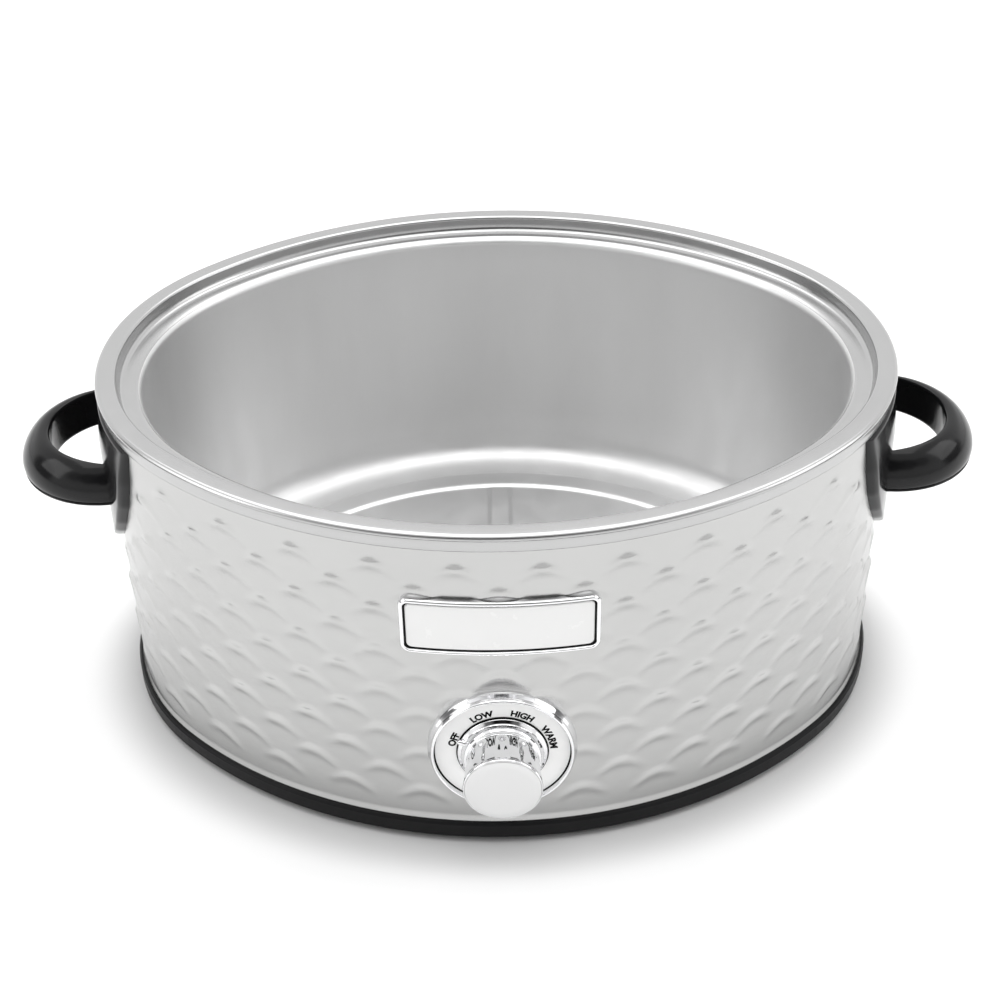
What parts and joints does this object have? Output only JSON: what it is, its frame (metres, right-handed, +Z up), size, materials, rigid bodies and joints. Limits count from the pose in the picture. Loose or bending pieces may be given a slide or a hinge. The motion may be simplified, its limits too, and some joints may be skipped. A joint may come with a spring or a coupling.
{
  "type": "slow cooker heating base",
  "caption": "Oval slow-cooker heating base: embossed metal shell, drawn aluminium well, black loop handles, dial with turning knob, name plate and black base tray.",
  "frame": {"origin": "middle of the footprint (of the whole bounding box) on the surface the feet stand on", "axes": "+X to the right along the oval's length, through the handles; +Y from the dial at the front to the cord gland at the back; +Z up"},
  "size_m": [0.433, 0.3127, 0.163],
  "materials": {
    "embossed_steel": "bright polished sheet with an embossed scallop pattern",
    "liner_aluminium": "satin drawn aluminium, brighter polished rim",
    "tray_black": "satin black moulding",
    "foot_rubber": "soft black rubber",
    "handle_black": "glossy black heat-resistant moulding",
    "trim_chrome": "bright chrome plating",
    "plate_mirror": "polished bright plate",
    "knob_satin": "fine satin face",
    "zinc_steel": "zinc-plated steel",
    "switch_phenolic": "brown phenolic moulding",
    "cover_board": "insulating board",
    "contact_brass": "plain brass strip",
    "band_fibre": "woven glass-fibre heater wrap",
    "block_ceramic": "unglazed steatite",
    "hub_plastic": "natural heat-resistant nylon",
    "wire_brown": "silicone insulation",
    "wire_blue": "silicone insulation",
    "wire_grey": "glass-braided silicone insulation",
    "wire_green": "silicone insulation",
    "gland_black": "black nylon"
  },
  "bodies": {
    "base": {"outer_shell": "embossed_steel", "liner": "liner_aluminium", "base_tray": "tray_black", "rubber_feet": "foot_rubber", "handle_left": "handle_black", "handle_right": "handle_black", "handle_plate_left": "handle_black", "handle_plate_right": "handle_black", "handle_screws": "zinc_steel", "handle_washers": "zinc_steel", "nameplate_frame": "trim_chrome", "nameplate_plate": "plate_mirror", "nameplate_nuts": "zinc_steel", "dial_bezel": "trim_chrome", "dial_plate": "plate_mirror", "switch_bush": "zinc_steel", "switch_nut": "zinc_steel", "switch_housing": "switch_phenolic", "switch_cover": "cover_board", "switch_contacts": "contact_brass", "switch_rivets": "zinc_steel", "heater_band": "band_fibre", "band_lugs": "zinc_steel", "band_springs": "zinc_steel", "heat_shield": "zinc_steel", "thermal_fuse": "zinc_steel", "fuse_clip": "zinc_steel", "clamp_bracket": "zinc_steel", "centre_spacer": "zinc_steel", "centre_bolt": "zinc_steel", "centre_washer": "zinc_steel", "centre_nut": "zinc_steel", "terminal_block": "block_ceramic", "terminal_screws": "contact_brass", "earth_stud": "contact_brass", "earth_nut": "contact_brass", "wire_live": "wire_brown", "wire_neutral": "wire_blue", "wire_heater": "wire_grey", "wire_earth": "wire_green", "cord_gland": "gland_black", "gland_nut": "gland_black"},
    "knob": {"knob_body": "trim_chrome", "knob_cap": "knob_satin", "knob_insert": "hub_plastic", "switch_shaft": "zinc_steel", "switch_cam": "hub_plastic"}
  },
  "joints": [
    {"name": "knob_turn", "type": "hinge", "parent": "base", "child": "knob", "pos_m": [0, -0.13156, 0.053], "axis": [0, 1, 0], "range_deg": [0, 135]}
  ]
}
